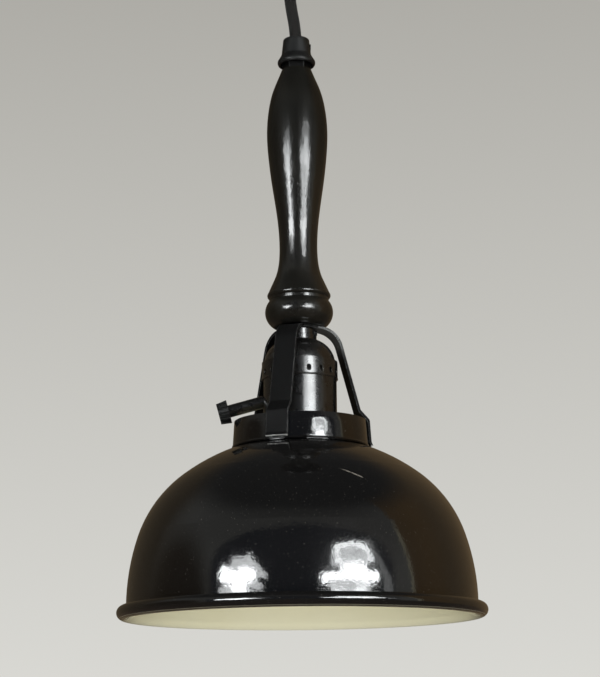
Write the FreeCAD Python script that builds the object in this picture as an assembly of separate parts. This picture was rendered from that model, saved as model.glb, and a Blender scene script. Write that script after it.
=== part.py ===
import FreeCAD, Part
import math
import os

Vector = FreeCAD.Vector
CENTRE = Vector(0, 0, 0)
UP = Vector(0, 0, 1)

# Pendant ceiling light: a black enamelled dome on a turned wooden handle, under a small canopy.
# Sizes are in millimetres and angles in degrees.
# Levels are heights above the plane of the shade's rim, until hang() lowers the lamp from the ceiling.
# +X is to the right and +Y away from someone who faces the lamp with its key on the left.

# Clearances that several pieces share
overrun = 1.0
thread_gap = 0.05
slip_gap = 0.15
running_gap = 0.3

# Shade
shade_radius = 78.15
shade_wall = 1.0
rim_bead_radius = 3.1
rim_bead_share = 0.6935
crown_radius_share = 1.146
shoulder_radius_share = 0.712
crown_angle = 36.9
shoulder_angle = 71.7
shade_neck_drop = 1.5

# Fitter collar
collar_top_radius = 30.0
collar_flare = 0.8
collar_height = 12.2
collar_wall = 1.0
collar_lip_radius = 0.6
crown_gap = 0.35

# Shade carrier, three legs of flat strip on a round hub
leg_count = 3
first_leg_angle = 11.0
strip_width = 10.0
strip_thickness = 1.2
carrier_rise = 44.0
hub_radius = 9.0
leg_shoulder_radius = 16.35
leg_inset = 3.4
joggle_rise = 5.1
joggle_rest = 0.7
toe_height = 1.6
toe_lean = 25.0
toe_lift = 1.1
hub_bend_radius = 11.0
joggle_bend_radius = 1.5
toe_bend_radius = 2.5

# Screws from inside the shade's neck through the collar into blind holes in the feet
neck_screw_radius = 1.5
neck_screw_head_radius = 2.6
neck_screw_head_height = 1.0
neck_screw_drop = 4.8
neck_screw_bite_share = 0.65

# Threaded stem tube
stem_radius = 5.0
stem_wall = 1.5
stem_tail = 6.7

# Wooden handle
handle_length = 124.7
handle_foot_radius = 11.7
bead_radius = 15.6
groove_radius = 13.7
flange_radius = 14.55
waist_radius = 8.76
belly_radius = 14.2
handle_top_radius = 7.0
handle_edge_radius = 0.8
bead_height_share = 0.098
flange_height_shares = (0.108, 0.125)
waist_height_share = 0.3
belly_height_share = 0.755
# Height between flange and waist, and how far the radius has come towards the waist
lower_neck_shares = ((0.2, 0.37), (0.43, 0.73), (0.7, 0.94))
# Height between waist and belly, and how far the radius has come towards the belly
swell_shares = ((0.15, 0.06), (0.35, 0.3), (0.56, 0.625), (0.76, 0.87))
# Height between belly and top, and how far the radius has come towards the top
upper_neck_shares = ((0.36, 0.13), (0.64, 0.4), (0.84, 0.73))

# Lock nut on the handle
lock_nut_wall = 0.9
lock_nut_height = 4.0

# Cord grip
grip_lift = 2.5
grip_nut_room = 0.85
grip_skirt_wall = 1.2
grip_skirt_depth = 2.6
grip_shoulder_radius = 7.0
grip_top_radius = 6.2
grip_height = 13.0
grip_edge_radius = 0.8
grip_skirt_share = 0.17
grip_shoulder_share = 0.4
stem_stand = 4.0
grip_screw_radius = 1.5
grip_screw_reach = 0.3
grip_screw_share = 0.7
screw_slot_width = 0.6
screw_slot_depth = 0.7

# Socket cap and its bushing
bushing_wall = 2.4
bushing_flange_step = 0.5
bushing_top_height = 3.0
bushing_flange_height = 2.1
bushing_shank_wall = 1.2
bushing_swage_step = 1.0
bushing_swage_height = 0.8
bushing_screw_radius = 1.2
bushing_screw_reach = 0.8
cap_wall = 0.45
cap_step = 1.1
cap_dome_height = 9.9
# How far the middle of the dome's curve is out from the bushing and up from the foot
cap_dome_shares = (0.7, 0.6)
cap_band_height = 8.6
cap_bead_radius = 0.35
slot_count = 18
slot_phase = -6.0
slot_width = 2.0
slot_height = 2.8
slot_rise = 3.0

# Socket shell and the liners
shell_wall = 0.5
shell_length = 37.3
shell_lap = 1.4
shell_air = 1.25
liner_wall = 0.6

# Inner body of the socket
block_height = 18.5
block_rise = 2.7
contact_recess_depth = 5.0
terminal_pocket_width = 8.4
terminal_pocket_depth = 3.4
terminal_pocket_height = 8.0
terminal_drop = 4.4
terminal_head_radius = 2.6
terminal_head_height = 1.6
terminal_shank_radius = 1.5
terminal_shank_length = 4.6

# Threaded shell that holds the bulb
bulb_gap = 0.4
screw_shell_wall = 0.35
screw_shell_length = 18.6
thread_depth = 0.55
thread_pitch = 3.63
thread_turns = 5

# Centre contact leaf
leaf_width = 4.0
leaf_thickness = 0.4
leaf_length = 9.0
leaf_dip = 1.2

# Turn key
key_drop = 9.8
key_droop = 15.0
key_shaft_radius = 2.85
key_shaft_length = 16.1
key_knob_radius = 5.4
key_face_radius = 4.75
key_knob_length = 4.9
key_flute_count = 14
key_flute_radius = 0.55
key_flute_overrun_share = 0.2
key_spigot_radius = 2.0
key_spigot_length = 3.9
key_spindle_radius = 1.6
rotor_radius = 3.6
rotor_length = 11.0

# Lead wires inside the stem
lead_radius = 1.1
lead_gap = 0.4
lead_bend_rise = 10.0
lead_end_rise = 7.2

# Bulb
bulb_radius = 22.5
bulb_length = 75.0
bulb_glass_wall = 0.8
bulb_neck_gap = 0.5
bulb_neck_length = 4.0
base_crest_radius = 13.0
base_thread_depth = 0.5
base_wall = 0.4
base_length = 21.5
base_turns = 4
base_plain_share = 0.2
base_nose_radius = 9.0
insulator_height = 3.2
insulator_tip_radius = 5.2
tip_step = 0.6
tip_height = 1.1
stem_glass_radius = 4.2
stem_glass_height = 24.0
filament_ring_radius = 8.0
filament_wire_radius = 0.35
filament_rise = 30.0

# Cord
cord_radius = 2.75
cord_rise = 91.7
cord_sway = 3.9
# Height up the free cord and how far it has swayed to the left there
cord_route_shares = ((0, 0), (0.13, 0), (0.29, 0.66), (0.466, 1), (0.613, 0.92), (0.749, 0.49),
                     (0.88, 0), (1, 0))
arc_share = 0.45

# Ceiling canopy
canopy_radius = 50.0
canopy_height = 30.0
canopy_wall = 1.0
canopy_corner_radius = 10.0

# Cord gland in the canopy
gland_thread_radius = 5.0
gland_thread_length = 7.0
gland_flange_radius = 9.5
gland_flange_height = 2.5
gland_body_radius = 7.6
gland_mouth_radius = 6.0
gland_body_length = 8.5
pivot_drop = 8.0
gland_bore_gap = 0.5
gland_flare = 1.5
gland_nut_wall = 2.5
gland_nut_height = 3.5

# Mounting bar
bar_end_gap = 1.4
bar_width = 18.0
bar_thickness = 1.5
bar_ear_height = 13.0
ceiling_screw_spacing = 60.0
ceiling_hole_radius = 2.6
canopy_screw_radius = 2.0
canopy_screw_drop = 8.0
canopy_screw_head_radius = 3.6
canopy_screw_head_height = 2.2
canopy_screw_length = 8.0

# Terminal block
terminal_block_length = 22.0
terminal_block_width = 14.0
terminal_block_height = 9.0
barrel_wall = 1.1
barrel_spacing = 12.0
clamp_screw_radius = 1.1
clamp_head_radius = 1.8
clamp_head_height = 1.2
clamp_spacing = 4.6
block_screw_radius = 1.5
block_screw_head_radius = 2.8
block_screw_head_height = 1.6
core_radius = 0.95
core_gap = 0.7
core_room = 0.25
core_drop = 8.45
core_insert = 3.0


def sine(angle):
    return math.sin(math.radians(angle))


def cosine(angle):
    return math.cos(math.radians(angle))


def tangent(angle):
    return math.tan(math.radians(angle))


# Shade curve, from which the levels of everything above follow
rim_bead_place = shade_radius - shade_wall + rim_bead_share * rim_bead_radius
crown_radius = crown_radius_share * shade_radius
shoulder_radius = shoulder_radius_share * shade_radius
wall_foot = rim_bead_radius + math.sqrt(rim_bead_radius ** 2 - (rim_bead_place - shade_radius) ** 2)
shoulder_place = (crown_radius - shoulder_radius) * sine(crown_angle)
shoulder_end_radius = shoulder_place + shoulder_radius * sine(shoulder_angle)
wall_radius = (shade_radius - shoulder_end_radius) / (1 - sine(shoulder_angle))
wall_place = shade_radius - wall_radius
shoulder_end = wall_foot + wall_radius * cosine(shoulder_angle)
shoulder_level = shoulder_end - shoulder_radius * cosine(shoulder_angle)
crown_level = shoulder_level - (crown_radius - shoulder_radius) * cosine(crown_angle)


def crown_height(radius, depth=0):
    """Level of the crown's skin, or of a skin at this depth below it."""
    return crown_level + math.sqrt((crown_radius - depth) ** 2 - radius ** 2)


# Radii that follow from the stem, the bulb's base, the cord's cores and the canopy
stem_bore_radius = stem_radius - stem_wall
lock_nut_flats = 2 * (stem_radius + lock_nut_wall)
grip_skirt_bore_radius = lock_nut_flats / 2 / cosine(30) + grip_nut_room
grip_skirt_radius = grip_skirt_bore_radius + grip_skirt_wall
bushing_top_radius = stem_radius + bushing_wall
bushing_flange_radius = bushing_top_radius + bushing_flange_step
bushing_shank_radius = stem_radius + bushing_shank_wall
bushing_swage_radius = bushing_shank_radius + bushing_swage_step
base_root_radius = base_crest_radius - base_thread_depth
bulb_neck_radius = base_root_radius - base_wall - bulb_neck_gap
contact_recess_radius = base_nose_radius + bulb_gap
tip_radius = insulator_tip_radius - tip_step
screw_shell_bore_radius = base_crest_radius + bulb_gap
screw_shell_radius = screw_shell_bore_radius + thread_depth + screw_shell_wall
shell_lip_radius = screw_shell_radius + running_gap
shell_liner_bore_radius = screw_shell_radius + shell_air
block_radius = shell_liner_bore_radius - slip_gap
shell_radius = shell_liner_bore_radius + liner_wall + slip_gap + shell_wall
cap_band_radius = shell_radius + thread_gap + cap_wall
cap_dome_radius = cap_band_radius - cap_step
lead_spread = lead_radius + lead_gap / 2
core_spread = core_radius + core_gap / 2
barrel_bore_radius = core_radius + core_room
barrel_radius = barrel_bore_radius + barrel_wall
gland_nut_flats = 2 * (gland_thread_radius + gland_nut_wall)
bar_length = 2 * (canopy_radius - canopy_wall - bar_end_gap)

# Levels from the collar up to the canopy
collar_bottom_radius = collar_top_radius + collar_flare
collar_bottom = crown_height(collar_bottom_radius) + crown_gap
collar_top = collar_bottom + collar_height
hub_top = collar_top + carrier_rise
hub_underside = hub_top - strip_thickness
handle_top = hub_top + handle_length
grip_bottom = handle_top + grip_lift
grip_top = grip_bottom + grip_height
stem_top = grip_bottom + stem_stand
cord_start = stem_top + running_gap

# Levels from the hub down to the bulb
bushing_seat = hub_underside - bushing_top_height - bushing_flange_height
cap_dome_foot = bushing_seat - cap_dome_height
band_bottom = cap_dome_foot - cap_band_height
shell_bottom = band_bottom - shell_length
block_top = band_bottom + block_rise
block_bottom = block_top - block_height
key_level = band_bottom - key_drop
stem_bottom = hub_underside - stem_tail
bulb_tip = block_bottom + contact_recess_depth - leaf_thickness - leaf_dip - thread_gap
bulb_bottom = bulb_tip - bulb_length
base_rim = bulb_tip - tip_height - insulator_height - base_length
bulb_centre = bulb_bottom + bulb_radius

# The cord's route from the grip up to its bending point
cord_route = [Vector(-cord_sway * sway, 0, cord_start + cord_rise * rise)
              for rise, sway in cord_route_shares]
pivot_level = cord_start + cord_rise
hang_drop = pivot_level + canopy_height + pivot_drop


def hang(shape):
    """Lower a lamp piece so that the ceiling is at zero."""
    return shape.translated(Vector(0, 0, -hang_drop))


def at(radius, level):
    return Vector(radius, 0, level)


def outline(start, *steps):
    """Closed face in the XZ plane from straight steps (end) and arc steps (middle, end)."""
    edges = []
    here = start
    for step in steps:
        if isinstance(step, tuple):
            middle, end = step
            edges.append(Part.Arc(here, middle, end).toShape())
        else:
            end = step
            edges.append(Part.LineSegment(here, end).toShape())
        here = end
    if here.distanceToPoint(start) > 0:
        edges.append(Part.LineSegment(here, start).toShape())
    return Part.Face(Part.Wire(edges))


def spin(face):
    return face.revolve(CENTRE, UP, 360)


def rod(radius, low, high):
    return Part.makeCylinder(radius, high - low, Vector(0, 0, low))


def sleeve(outer, inner, low, high):
    return rod(outer, low, high).cut(rod(inner, low - overrun, high + overrun))


def block(length, width, low, high):
    """Box centred on the axis."""
    corner = Vector(-length / 2, -width / 2, low)
    return Part.makeBox(length, width, high - low, corner)


def hexagon(flats, low, high):
    corner_radius = flats / 2 / cosine(30)
    corners = [Vector(corner_radius * cosine(60 * i), corner_radius * sine(60 * i), low) for i in range(7)]
    return Part.Face(Part.makePolygon(corners)).extrude(Vector(0, 0, high - low))


def turned(shape, angle):
    return shape.rotated(CENTRE, UP, angle)


def placed(shape, place, direction):
    """Move a shape built along +Z so that it starts at a place and points along a direction."""
    spot = FreeCAD.Placement(place, FreeCAD.Rotation(UP, direction))
    return shape.transformed(spot.toMatrix())


def around(shape, count, first=0):
    return [turned(shape, first + 360 * i / count) for i in range(count)]


def on_circle(radius, place, level, angle):
    """Point on a circle in the XZ plane, with the angle taken from straight up."""
    return at(place + radius * sine(angle), level + radius * cosine(angle))


def middle_angle(place, level, start, end):
    first = math.degrees(math.atan2(start.x - place, start.z - level))
    last = math.degrees(math.atan2(end.x - place, end.z - level))
    return (first + last) / 2


def slotted(shape, width, depth, top, reach):
    """Cut a screwdriver slot into the top of a screw built along +Z."""
    return shape.cut(block(2 * reach, width, top - depth, top + overrun))


def tangent_route(points):
    """Wire of straight runs joined by tangent arcs, with the arcs' radii."""
    edges = []
    radii = []
    here = points[0]
    for before, corner, after in zip(points, points[1:], points[2:]):
        back = before - corner
        ahead = after - corner
        setback = arc_share * min(back.Length, ahead.Length)
        back.normalize()
        ahead.normalize()
        half_turn = (math.pi - back.getAngle(ahead)) / 2
        radius = setback / math.tan(half_turn)
        inward = back + ahead
        inward.normalize()
        start = corner + back * setback
        end = corner + ahead * setback
        middle = corner + inward * (math.hypot(setback, radius) - radius)
        edges.append(Part.LineSegment(here, start).toShape())
        edges.append(Part.Arc(start, middle, end).toShape())
        radii.append(radius)
        here = end
    edges.append(Part.LineSegment(here, points[-1]).toShape())
    return Part.Wire(edges), radii


def cable(name, points, radius):
    """Round cable along a route; prints its bends and compares its volume with its length."""
    path, radii = tangent_route(points)
    section = Part.Wire(Part.makeCircle(radius, points[0], points[1] - points[0]))
    solid = path.makePipeShell([section], True, False)
    expected = math.pi * radius ** 2 * path.Length
    print(name, "length %.1f" % path.Length, "radii", ["%.1f" % value for value in radii],
          "volume over section times length %.4f" % (solid.Volume / expected))
    return solid


def side_steps(points, bends, offset):
    """Steps along one side of a bent strip, at an offset from its middle line."""
    steps = []
    for before, corner, after, bend in zip(points, points[1:], points[2:], bends):
        along_in = corner - before
        along_out = after - corner
        along_in.normalize()
        along_out.normalize()
        half_turn = along_in.getAngle(along_out) / 2
        setback = bend * math.tan(half_turn)
        side_in = Vector(-along_in.z, 0, along_in.x)
        side_out = Vector(-along_out.z, 0, along_out.x)
        side_middle = side_in + side_out
        side_middle.normalize()
        inward = along_out - along_in
        inward.normalize()
        middle = corner + inward * (bend / math.cos(half_turn) - bend)
        start = corner - along_in * setback + side_in * offset
        end = corner + along_out * setback + side_out * offset
        steps.append(start)
        steps.append((middle + side_middle * offset, end))
    last_run = points[-1] - points[-2]
    last_run.normalize()
    steps.append(points[-1] + Vector(-last_run.z, 0, last_run.x) * offset)
    return steps


def bent_strip(points, bends, thickness, width):
    """Flat strip bent along a line in the XZ plane, centred on that plane."""
    half = thickness / 2
    first_run = points[1] - points[0]
    first_run.normalize()
    first_side = Vector(-first_run.z, 0, first_run.x)
    near = side_steps(points, bends, half)
    far = side_steps(points, bends, -half)
    back = []
    ends = [points[0] - first_side * half]
    for step in far:
        ends.append(step[1] if isinstance(step, tuple) else step)
    for index in range(len(far) - 1, -1, -1):
        target = ends[index]
        back.append((far[index][0], target) if isinstance(far[index], tuple) else target)
    face = outline(points[0] + first_side * half, *near, ends[-1], *back)
    return face.translated(Vector(0, -width / 2, 0)).extrude(Vector(0, width, 0))


# Shade
def make_shade():
    neck_outer = collar_top_radius - collar_wall - slip_gap
    neck_inner = neck_outer - shade_wall
    neck_top = collar_top - shade_neck_drop
    inner_foot = rim_bead_radius + math.sqrt(
        rim_bead_radius ** 2 - (rim_bead_place - shade_radius + shade_wall) ** 2)

    def skin(depth, radius):
        start = at(radius, crown_height(radius, depth))
        crown_end = on_circle(crown_radius - depth, 0, crown_level, crown_angle)
        crown_mid = on_circle(crown_radius - depth, 0, crown_level,
                              middle_angle(0, crown_level, start, crown_end))
        shoulder_mid = on_circle(shoulder_radius - depth, shoulder_place, shoulder_level,
                                 (crown_angle + shoulder_angle) / 2)
        shoulder_stop = on_circle(shoulder_radius - depth, shoulder_place, shoulder_level, shoulder_angle)
        wall_mid = on_circle(wall_radius - depth, wall_place, wall_foot, (shoulder_angle + 90) / 2)
        return start, crown_mid, crown_end, shoulder_mid, shoulder_stop, wall_mid

    top, crown_mid, crown_end, shoulder_mid, stop, wall_mid = skin(0, neck_outer)
    inner_top, inner_crown_mid, inner_crown_end, inner_mid, inner_stop, inner_wall_mid = skin(
        shade_wall, neck_inner)
    face = outline(
        at(neck_inner, neck_top),
        at(neck_outer, neck_top),
        top,
        (crown_mid, crown_end),
        (shoulder_mid, stop),
        (wall_mid, at(shade_radius, wall_foot)),
        (at(rim_bead_place + rim_bead_radius * cosine(45), rim_bead_radius * (1 - sine(45))),
         at(shade_radius - shade_wall, inner_foot)),
        at(shade_radius - shade_wall, wall_foot),
        (inner_wall_mid, inner_stop),
        (inner_mid, inner_crown_end),
        (inner_crown_mid, inner_top))
    return spin(face).cut(Part.makeCompound(neck_screw_holes()))


# Fitter collar
def make_fitter_collar():
    face = outline(
        at(collar_top_radius - collar_wall, collar_top),
        at(collar_top_radius, collar_top),
        at(collar_bottom_radius, collar_bottom),
        at(collar_bottom_radius - collar_wall, collar_bottom))
    band = spin(face)
    lip = Part.makeTorus(collar_bottom_radius - collar_lip_radius / 2, collar_lip_radius,
                         Vector(0, 0, collar_bottom + collar_lip_radius))
    bore = collar_bottom_radius - collar_wall
    lip = lip.cut(rod(bore, collar_bottom - overrun, collar_bottom + collar_height))
    return band.fuse(lip).removeSplitter().cut(Part.makeCompound(neck_screw_holes()))


# Neck screws, at the middle of each foot and square to it
flare_angle = math.degrees(math.atan2(collar_flare, collar_height))
neck_screw_level = collar_top - neck_screw_drop
neck_screw_line = Vector(cosine(flare_angle), 0, sine(flare_angle))
neck_screw_bite = neck_screw_bite_share * strip_thickness


def foot_face(level):
    """Radius of the foot's inner face at a level."""
    return collar_top_radius + slip_gap + (collar_top - level) * collar_flare / collar_height


def neck_screw_seat():
    """From the foot's inner face to where a flat head clears the neck's round inside."""
    neck_inner = collar_top_radius - collar_wall - slip_gap - shade_wall
    head_clear = (neck_screw_head_radius * sine(flare_angle)
                  + neck_screw_head_radius ** 2 / (2 * neck_inner))
    return foot_face(neck_screw_level) - neck_inner + head_clear + thread_gap


def neck_screw_holes():
    start = at(foot_face(neck_screw_level), neck_screw_level)
    hole = rod(neck_screw_radius + thread_gap, -neck_screw_seat() - overrun, neck_screw_bite + thread_gap)
    return around(placed(hole, start, neck_screw_line), leg_count, first_leg_angle)


def make_neck_screws():
    start = at(foot_face(neck_screw_level), neck_screw_level)
    seat = neck_screw_seat()
    top = seat + neck_screw_head_height
    screw = rod(neck_screw_radius, -neck_screw_bite, seat)
    screw = screw.fuse(rod(neck_screw_head_radius, seat, top)).removeSplitter()
    screw = slotted(screw, screw_slot_width, screw_slot_depth, top, neck_screw_head_radius)
    return Part.makeCompound(around(placed(screw, start, neck_screw_line * -1), leg_count, first_leg_angle))


# Shade carrier
def make_shade_carrier():
    half = strip_thickness / 2
    hub_middle = hub_top - half
    joggle_start = at(collar_top_radius - leg_inset, collar_top + joggle_rise)
    foot_top = collar_top + joggle_rest
    toe_end = collar_bottom + toe_lift
    toe_start = toe_end + toe_height
    toe_bend = at(foot_face(toe_start) + half, toe_start)
    points = [
        at(stem_radius + slip_gap, hub_middle),
        at(leg_shoulder_radius, hub_middle),
        joggle_start,
        at(foot_face(foot_top) + half, foot_top),
        toe_bend,
        at(toe_bend.x + toe_height * tangent(toe_lean), toe_end)]
    bends = [hub_bend_radius, joggle_bend_radius, joggle_bend_radius, toe_bend_radius]
    leg = bent_strip(points, bends, strip_thickness, strip_width)
    carrier = rod(hub_radius, hub_underside, hub_top)
    carrier = carrier.multiFuse(around(leg, leg_count, first_leg_angle)).removeSplitter()
    bore = rod(stem_radius + slip_gap, hub_underside - overrun, hub_top + overrun)
    return carrier.cut(Part.makeCompound([bore] + neck_screw_holes()))


# Threaded stem tube
def make_stem_tube():
    return sleeve(stem_radius, stem_bore_radius, stem_bottom, stem_top)


# Wooden handle
def make_handle():
    bead_top = hub_top + bead_height_share * handle_length
    flange_low = hub_top + flange_height_shares[0] * handle_length
    flange_high = hub_top + flange_height_shares[1] * handle_length
    waist = hub_top + waist_height_share * handle_length
    belly = hub_top + belly_height_share * handle_length
    bead_middle = (hub_top + bead_top) / 2

    def between(low_level, high_level, low_radius, high_radius, shares):
        return [at(low_radius + (high_radius - low_radius) * swell,
                   low_level + (high_level - low_level) * rise) for rise, swell in shares]

    flange_edge = at(flange_radius - handle_edge_radius / 2, flange_high + handle_edge_radius / 2)
    top_edge = at(handle_top_radius, handle_top)
    curve_points = [flange_edge]
    curve_points += between(flange_high, waist, flange_radius, waist_radius, lower_neck_shares)
    curve_points += [at(waist_radius, waist)]
    curve_points += between(waist, belly, waist_radius, belly_radius, swell_shares)
    curve_points += [at(belly_radius, belly)]
    curve_points += between(belly, handle_top, belly_radius, handle_top_radius, upper_neck_shares)
    curve_points += [top_edge]
    curve = Part.BSplineCurve()
    curve.interpolate(curve_points)
    bore = stem_radius + slip_gap
    edges = [
        Part.LineSegment(at(bore, hub_top), at(handle_foot_radius, hub_top)).toShape(),
        Part.Arc(at(handle_foot_radius, hub_top), at(bead_radius, bead_middle),
                 at(groove_radius, bead_top)).toShape(),
        Part.LineSegment(at(groove_radius, bead_top), at(groove_radius, flange_low)).toShape(),
        Part.Arc(at(groove_radius, flange_low), at(flange_radius, (flange_low + flange_high) / 2),
                 flange_edge).toShape(),
        curve.toShape(),
        Part.LineSegment(top_edge, at(bore, handle_top)).toShape(),
        Part.LineSegment(at(bore, handle_top), at(bore, hub_top)).toShape()]
    return spin(Part.Face(Part.Wire(edges)))


# Lock nut
def make_lock_nut():
    nut = hexagon(lock_nut_flats, handle_top, handle_top + lock_nut_height)
    return nut.cut(rod(stem_radius + thread_gap, handle_top - overrun, handle_top + 2 * lock_nut_height))


# Cord grip
grip_screw_level = grip_bottom + grip_screw_share * grip_height


def make_cord_grip():
    skirt_top = grip_bottom + grip_skirt_share * grip_height
    shoulder = grip_bottom + grip_shoulder_share * grip_height
    neck = at(grip_shoulder_radius, shoulder)
    face = outline(
        at(0, grip_bottom),
        at(grip_skirt_radius - grip_edge_radius / 2, grip_bottom),
        (at(grip_skirt_radius, grip_bottom + grip_edge_radius), at(grip_skirt_radius - slip_gap, skirt_top)),
        (at((grip_skirt_radius + grip_shoulder_radius) / 2 - slip_gap, (skirt_top + shoulder) / 2), neck),
        at(grip_top_radius, grip_top - grip_edge_radius),
        (at(grip_top_radius - grip_edge_radius * (1 - cosine(45)),
            grip_top - grip_edge_radius * (1 - sine(45))),
         at(grip_top_radius - grip_edge_radius, grip_top)),
        at(0, grip_top))
    grip = spin(face)
    skirt_bore = rod(grip_skirt_bore_radius, grip_bottom - overrun, grip_bottom + grip_skirt_depth)
    stem_bore = rod(stem_radius + thread_gap, grip_bottom - overrun, stem_top + slip_gap)
    cord_bore = rod(cord_radius + slip_gap, grip_bottom, grip_top + overrun)
    screw_hole = placed(rod(grip_screw_radius + thread_gap, 0, grip_skirt_radius),
                        at(0, grip_screw_level), Vector(1, 0, 0))
    return grip.cut(Part.makeCompound([skirt_bore, stem_bore, cord_bore, screw_hole]))


def make_grip_screw():
    start = cord_radius + thread_gap
    end = grip_top_radius + (grip_shoulder_radius - grip_top_radius) / 2 + grip_screw_reach
    screw = slotted(rod(grip_screw_radius, start, end), screw_slot_width, screw_slot_depth,
                    end, grip_screw_radius)
    return placed(screw, at(0, grip_screw_level), Vector(1, 0, 0))


# Socket cap with its bushing and liner
def cap_dome(offset, low, high):
    """Solid of the cap's domed top, drawn in by an offset."""
    foot = at(cap_dome_radius - offset, cap_dome_foot)
    seat = at(bushing_flange_radius, bushing_seat - offset)
    diagonal = at(seat.x + (foot.x - seat.x) * cap_dome_shares[0],
                  foot.z + (seat.z - foot.z) * cap_dome_shares[1])
    face = outline(at(0, low), at(foot.x, low), foot, (diagonal, seat), at(0, seat.z))
    return spin(face).common(rod(cap_band_radius, low, high))


def make_socket_cap():
    step = cap_dome_foot - cap_wall
    outer = cap_dome(0, band_bottom, bushing_seat)
    outer = outer.fuse(rod(cap_band_radius, band_bottom, step))
    rim = Part.makeTorus(cap_band_radius - cap_bead_radius / 2, cap_bead_radius,
                         Vector(0, 0, band_bottom + cap_bead_radius))
    outer = outer.fuse(rim)
    band_bore = rod(cap_band_radius - cap_wall, band_bottom - overrun, step - cap_wall)
    inner = cap_dome(cap_wall, band_bottom, bushing_seat).fuse(band_bore)
    hole = rod(bushing_shank_radius + thread_gap, band_bottom, bushing_seat + overrun)
    return outer.cut(inner).cut(Part.makeCompound([hole] + cap_slots()))


def cap_slots():
    """Upright slots with round ends around the band, the first one towards the viewer."""
    straight = slot_height - slot_width
    reach = 2 * cap_band_radius
    low = Vector(0, 0, band_bottom + slot_rise - straight / 2)
    slot = Part.makeBox(slot_width, reach, straight, Vector(-slot_width / 2, -reach, low.z))
    end = placed(rod(slot_width / 2, 0, reach), low, Vector(0, -1, 0))
    slot = slot.multiFuse([end, end.translated(Vector(0, 0, straight))])
    return around(slot, slot_count, slot_phase)


bushing_screw_level = hub_underside - bushing_top_height / 2


def make_cap_bushing():
    flange_top = bushing_seat + bushing_flange_height
    swage_top = bushing_seat - cap_wall
    bushing = rod(bushing_flange_radius, bushing_seat, flange_top)
    bushing = bushing.fuse(rod(bushing_top_radius, flange_top, hub_underside))
    bushing = bushing.fuse(rod(bushing_shank_radius, swage_top, bushing_seat))
    bushing = bushing.fuse(rod(bushing_swage_radius, swage_top - bushing_swage_height, swage_top))
    bore = rod(stem_radius + thread_gap, band_bottom, hub_underside + overrun)
    screw_hole = placed(rod(bushing_screw_radius + thread_gap, 0, 2 * bushing_top_radius),
                        at(0, bushing_screw_level), Vector(1, 0, 0))
    return bushing.removeSplitter().cut(bore).cut(screw_hole)


def make_bushing_screw():
    end = bushing_top_radius + bushing_screw_reach
    screw = slotted(rod(bushing_screw_radius, stem_radius + thread_gap, end), screw_slot_width,
                    screw_slot_depth, end, bushing_screw_radius)
    return placed(screw, at(0, bushing_screw_level), Vector(1, 0, 0))


def make_cap_liner():
    outer_offset = cap_wall + slip_gap
    inner_offset = outer_offset + liner_wall
    outer = cap_dome(outer_offset, block_top, bushing_seat)
    inner = cap_dome(inner_offset, block_top - overrun, bushing_seat)
    hole = rod(bushing_swage_radius + slip_gap, block_top, bushing_seat)
    return outer.cut(inner).cut(hole)


# Turn key, which droops a little from the shell's left side
key_start = Vector(-shell_radius, 0, key_level)
key_line = Vector(-cosine(key_droop), 0, -sine(key_droop))
key_depth = shell_radius / cosine(key_droop)


def key_notch(width):
    """Opening for the key's shaft, open to the top edge so that the shell slips on."""
    hole = placed(rod(width / 2, -width, width), key_start, key_line)
    notch = Part.makeBox(2 * width, width, block_top + shell_lap - key_level,
                         Vector(-shell_radius - width, -width / 2, key_level))
    return hole.fuse(notch)


def make_key_shaft():
    inner_end = key_shaft_radius * tangent(key_droop) + running_gap
    inner_end -= (shell_radius - block_radius) / cosine(key_droop)
    rotor_end = -key_depth + rotor_length / 2
    shaft = rod(key_shaft_radius, inner_end, key_shaft_length)
    shaft = shaft.fuse(rod(key_spindle_radius, rotor_end, inner_end))
    shaft = shaft.fuse(rod(key_spigot_radius, key_shaft_length, key_shaft_length + key_spigot_length))
    return placed(shaft.removeSplitter(), key_start, key_line)


def make_key_knob():
    knob_end = key_shaft_length + key_knob_length
    knob = Part.makeCone(key_knob_radius, key_face_radius, key_knob_length, Vector(0, 0, key_shaft_length))
    flute = rod(key_flute_radius, 0, (1 + 2 * key_flute_overrun_share) * key_knob_length)
    lean = Vector(key_face_radius - key_knob_radius, 0, key_knob_length)
    flute = placed(flute, Vector(key_knob_radius, 0, key_shaft_length), lean)
    flute = flute.translated(lean * -key_flute_overrun_share)
    knob = knob.cut(Part.makeCompound(around(flute, key_flute_count)))
    bore = rod(key_spigot_radius + thread_gap, key_shaft_length - overrun,
               key_shaft_length + key_spigot_length)
    return placed(knob.cut(bore), key_start, key_line)


def make_switch_rotor():
    return placed(rod(rotor_radius, -rotor_length / 2, rotor_length / 2),
                  key_start - key_line * key_depth, key_line)


# Socket shell and its liner
def make_socket_shell():
    top = band_bottom + shell_lap
    shell = sleeve(shell_radius, shell_radius - shell_wall, shell_bottom, top)
    lip = sleeve(shell_radius - shell_wall / 2, shell_lip_radius, shell_bottom, shell_bottom + shell_wall)
    return shell.fuse(lip).removeSplitter().cut(key_notch(2 * (key_shaft_radius + running_gap)))


def make_shell_liner():
    liner = sleeve(shell_liner_bore_radius + liner_wall, shell_liner_bore_radius,
                   shell_bottom + shell_wall, block_top)
    return liner.cut(key_notch(2 * (key_shaft_radius + running_gap)))


# Inner body of the socket
terminal_level = block_top - terminal_drop
terminal_face = block_radius - terminal_pocket_depth


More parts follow.
